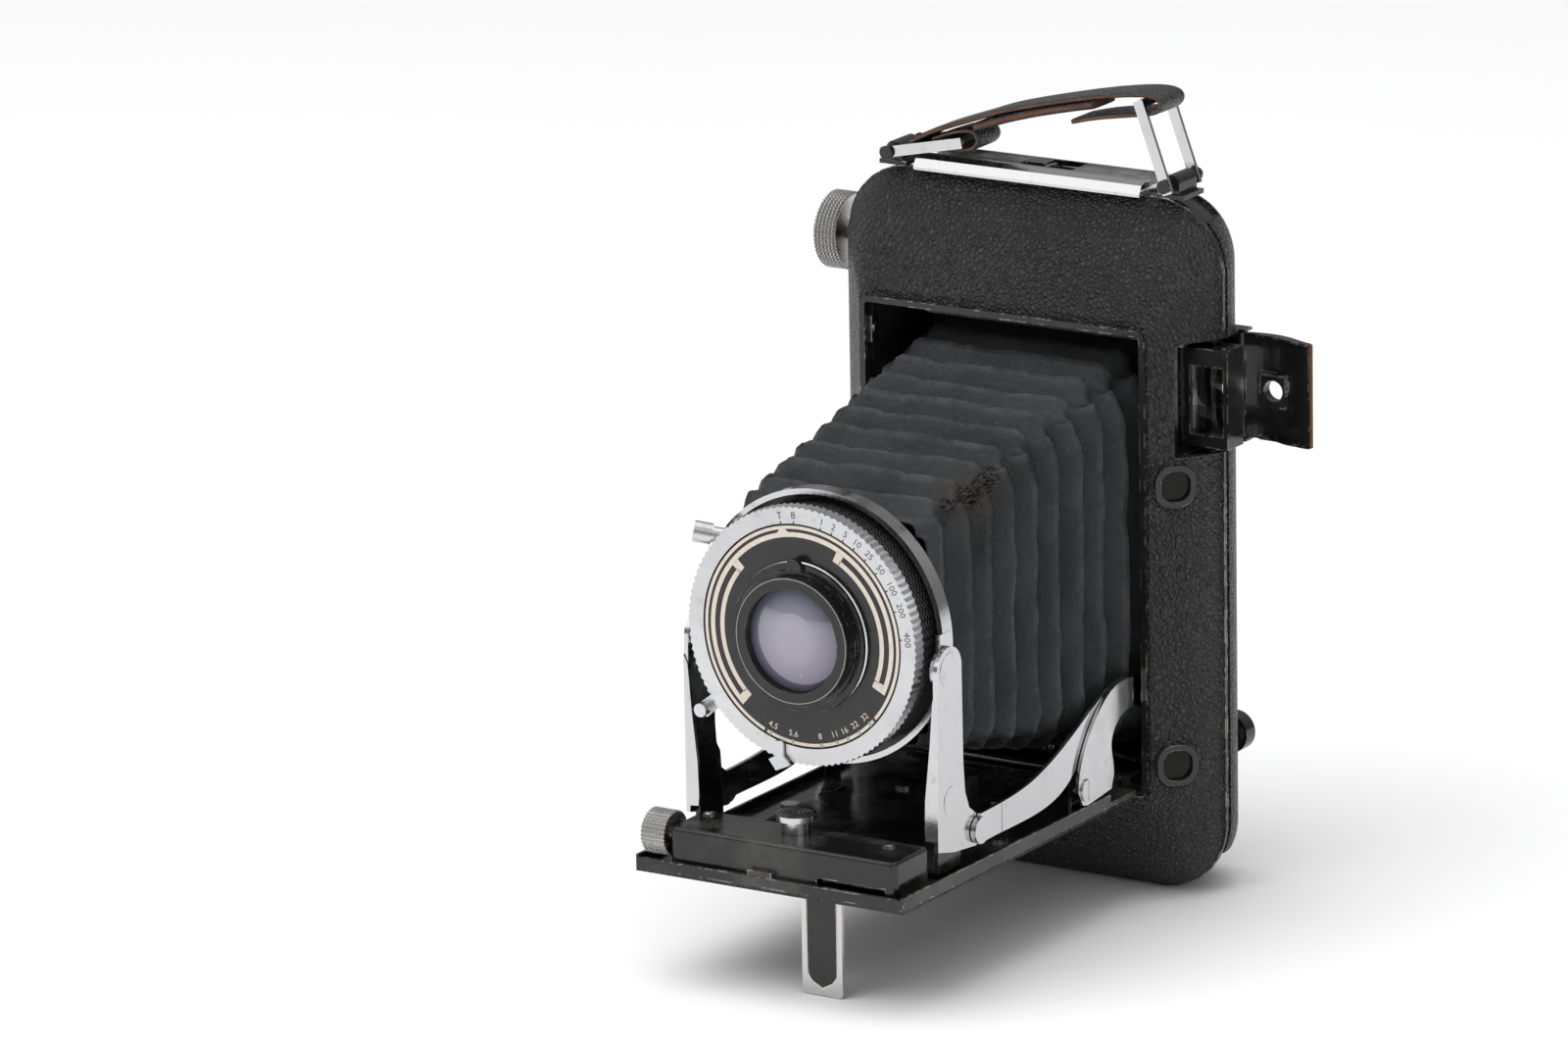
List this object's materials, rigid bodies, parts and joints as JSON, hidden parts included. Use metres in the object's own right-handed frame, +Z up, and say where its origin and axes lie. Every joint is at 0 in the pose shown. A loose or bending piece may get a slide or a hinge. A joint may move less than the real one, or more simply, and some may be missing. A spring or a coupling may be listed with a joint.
{
  "type": "folding camera",
  "caption": "Self-erecting folding roll-film camera standing on its lower end, bed down, with leaf shutter, pleated bellows, folding finder, carrying strap and hinged back.",
  "frame": {"origin": "centre of the flat lower end of the body", "axes": "+X to the right seen from the front, -Y where the lens looks, +Z up the long side of the body"},
  "size_m": [0.1192, 0.1335, 0.1783],
  "materials": {
    "black_shell": null,
    "black_leather": null,
    "black_enamel": null,
    "black_casting": null,
    "bright_steel": null,
    "bead_metal": null,
    "pin_steel": null,
    "chrome_trim": null,
    "black_lug": null,
    "finder_black": null,
    "window_black": null,
    "dark_glass": null,
    "spring_steel": null,
    "bellows_cloth": null,
    "knob_chrome": null,
    "spool_black": null,
    "red_window": null,
    "clear_glass": null,
    "bright_chrome": null,
    "strap_leather": null,
    "bed_enamel": null,
    "rivet_steel": null,
    "shutter_black": null,
    "blade_steel": null,
    "satin_chrome": null,
    "face_enamel": null,
    "lens_black": null,
    "coated_glass": null,
    "nickel": null
  },
  "bodies": {
    "body": {"body_shell": "black_shell", "body_leather": "black_leather", "opening_bezel": "black_enamel", "film_chamber": "black_casting", "film_rollers": "bright_steel", "trim_bead": "bead_metal", "hinge_pins": "pin_steel", "latch_trough": "chrome_trim", "strap_lugs": "black_lug", "finder_housing": "finder_black", "rf_bezels": "window_black", "rf_glasses": "dark_glass", "spool_pins": "pin_steel", "bed_spring": "spring_steel", "bellows": "bellows_cloth"},
    "latch": {"latch_slider": "chrome_trim"},
    "winder": {"wind_knob": "knob_chrome", "take_up_spool": "spool_black"},
    "feed": {"feed_spool": "spool_black"},
    "back": {"back_cover": "black_shell", "back_leather": "black_leather", "rf_eyepiece": "window_black", "pressure_plate": "black_casting", "red_windows": "red_window"},
    "window_slide": {"window_cover": "black_enamel"},
    "finder_front": {"finder_block": "finder_black", "finder_lens": "clear_glass"},
    "finder_rear": {"finder_flap": "finder_black"},
    "bail_l": {"bail_left": "bright_chrome"},
    "bail_r": {"bail_right": "bright_chrome"},
    "strap": {"handle_strap": "strap_leather"},
    "bed": {"bed_plate": "bed_enamel", "bed_leather": "black_leather", "bed_box": "bed_enamel", "bed_rivets": "rivet_steel", "arm_screws": "bright_chrome"},
    "button": {"release_button": "bright_chrome"},
    "focus": {"focus_knob": "knob_chrome"},
    "carriage": {"focus_carriage": "bed_enamel"},
    "foot": {"foot_plate": "bright_chrome"},
    "strut_l": {"upright_left": "bright_chrome", "pivot_rivets_left": "bright_chrome"},
    "strut_r": {"upright_right": "bright_chrome", "pivot_rivets_right": "bright_chrome"},
    "arm_fl": {"front_arm_left": "bright_chrome"},
    "arm_fr": {"front_arm_right": "bright_chrome"},
    "arm_rl": {"rear_arm_left": "bright_chrome"},
    "arm_rr": {"rear_arm_right": "bright_chrome"},
    "standard": {"lens_arch": "bright_chrome", "lens_board": "black_enamel", "shutter_case": "shutter_black", "shutter_blades": "blade_steel", "face_plate": "face_enamel", "lens_mount": "lens_black", "lens_glass": "coated_glass", "rear_cell": "lens_black", "cable_socket": "nickel"},
    "speeds": {"speed_ring": "satin_chrome"},
    "aperture": {"aperture_pointer": "satin_chrome"},
    "trigger": {"release_lever": "satin_chrome"}
  },
  "joints": [
    {"name": "bed_fold", "type": "hinge", "parent": "body", "child": "bed", "pos_m": [0, -0.0185, 0.027], "axis": [-1, 0, 0], "range_deg": [0, 90], "deforming": ["bellows"]},
    {"name": "focus_slide", "type": "slide", "parent": "bed", "child": "carriage", "axis": [0, 1, 0], "range_m": [-0.001, 0.005]},
    {"name": "focus_turn", "type": "hinge", "parent": "bed", "child": "focus", "pos_m": [-0.0295, -0.1135, 0.032], "axis": [1, 0, 0], "range_deg": [-21.6, 107.6]},
    {"name": "button_press", "type": "slide", "parent": "bed", "child": "button", "axis": [0, 0, -1], "range_m": [0, 0.0012], "stiffness_N_per_m": 300},
    {"name": "foot_fold", "type": "hinge", "parent": "bed", "child": "foot", "pos_m": [0.0076, -0.10965, 0.0239], "axis": [1, 0, 0], "range_deg": [0, 90]},
    {"name": "strut_right_fold", "type": "hinge", "parent": "carriage", "child": "strut_r", "pos_m": [0.031, -0.0956, 0.0428], "axis": [-1, 0, 0], "range_deg": [0, 93]},
    {"name": "strut_left_fold", "type": "hinge", "parent": "carriage", "child": "strut_l", "pos_m": [-0.031, -0.0956, 0.0428], "axis": [-1, 0, 0], "range_deg": [0, 93]},
    {"name": "standard_level", "type": "hinge", "parent": "strut_r", "child": "standard", "pos_m": [0.031, -0.096, 0.0718], "axis": [-1, 0, 0], "range_deg": [-183, 0]},
    {"name": "front_arm_right_fold", "type": "hinge", "parent": "strut_r", "child": "arm_fr", "pos_m": [0.0322, -0.0855, 0.0339], "axis": [-1, 0, 0], "range_deg": [-92, 0]},
    {"name": "front_arm_left_fold", "type": "hinge", "parent": "strut_l", "child": "arm_fl", "pos_m": [-0.0322, -0.0855, 0.0339], "axis": [-1, 0, 0], "range_deg": [-92, 0]},
    {"name": "rear_arm_right_fold", "type": "hinge", "parent": "bed", "child": "arm_rr", "pos_m": [0.0332, -0.043, 0.0316], "axis": [-1, 0, 0], "range_deg": [0, 2]},
    {"name": "rear_arm_left_fold", "type": "hinge", "parent": "bed", "child": "arm_rl", "pos_m": [-0.0332, -0.043, 0.0316], "axis": [-1, 0, 0], "range_deg": [0, 2]},
    {"name": "speed_turn", "type": "hinge", "parent": "standard", "child": "speeds", "pos_m": [0, -0.104, 0.0768], "axis": [0, -1, 0], "range_deg": [0, 110]},
    {"name": "aperture_turn", "type": "hinge", "parent": "standard", "child": "aperture", "pos_m": [0, -0.104, 0.0768], "axis": [0, -1, 0], "range_deg": [-12, 48]},
    {"name": "trigger_press", "type": "hinge", "parent": "standard", "child": "trigger", "pos_m": [0, -0.104, 0.0768], "axis": [0, -1, 0], "range_deg": [0, 8], "stiffness_Nm_per_rad": 0.05},
    {"name": "wind_turn", "type": "hinge", "parent": "body", "child": "winder", "pos_m": [-0.05, -0.001, 0.1374], "axis": [-1, 0, 0], "continuous": true},
    {"name": "feed_turn", "type": "hinge", "parent": "body", "child": "feed", "pos_m": [0, -0.001, 0.0156], "axis": [-1, 0, 0], "continuous": true},
    {"name": "back_open", "type": "hinge", "parent": "body", "child": "back", "pos_m": [0, 0.011, 0.0034], "axis": [-1, 0, 0], "range_deg": [0, 88]},
    {"name": "latch_slide", "type": "slide", "parent": "body", "child": "latch", "axis": [1, 0, 0], "range_m": [0, 0.003]},
    {"name": "window_cover_slide", "type": "slide", "parent": "back", "child": "window_slide", "axis": [0, 0, 1], "range_m": [-0.009, 0.009]},
    {"name": "finder_fold", "type": "hinge", "parent": "body", "child": "finder_rear", "pos_m": [0.0454, 0.0046, 0.1128], "axis": [0, 0, -1], "range_deg": [0, 88]},
    {"name": "finder_front_fold", "type": "hinge", "parent": "body", "child": "finder_front", "pos_m": [0.0433, -0.0033, 0.1128], "axis": [0, 0, -1], "range_deg": [0, 90.5]},
    {"name": "handle_fold", "type": "hinge", "parent": "body", "child": "bail_r", "pos_m": [0.035, -0.0032, 0.1586], "axis": [0, -1, 0], "range_deg": [0, 57.5]},
    {"name": "handle_left_fold", "type": "hinge", "parent": "body", "child": "bail_l", "pos_m": [-0.035, -0.0032, 0.1586], "axis": [0, -1, 0], "range_deg": [-1.5, 0]},
    {"name": "strap_tilt", "type": "hinge", "parent": "bail_l", "child": "strap", "pos_m": [-0.0169, -0.0032, 0.16245], "axis": [0, -1, 0], "range_deg": [-16, 0], "deforming": ["handle_strap"]}
  ],
  "couplings": [
    {"joint": "focus_turn", "follows": "focus_slide", "rad_per_m": 375},
    {"joint": "strut_right_fold", "follows": "bed_fold", "ratio": 1.03},
    {"joint": "strut_left_fold", "follows": "bed_fold", "ratio": 1.03},
    {"joint": "standard_level", "follows": "bed_fold", "ratio": -2.03},
    {"joint": "front_arm_right_fold", "follows": "bed_fold", "ratio": -1.0133},
    {"joint": "front_arm_left_fold", "follows": "bed_fold", "ratio": -1.0133},
    {"joint": "rear_arm_right_fold", "follows": "bed_fold", "ratio": 0.02},
    {"joint": "rear_arm_left_fold", "follows": "bed_fold", "ratio": 0.02},
    {"joint": "finder_front_fold", "follows": "finder_fold", "ratio": 1.0227},
    {"joint": "handle_fold", "follows": "strap_tilt", "ratio": -3.5714},
    {"joint": "handle_left_fold", "follows": "strap_tilt", "ratio": 0.0714}
  ]
}
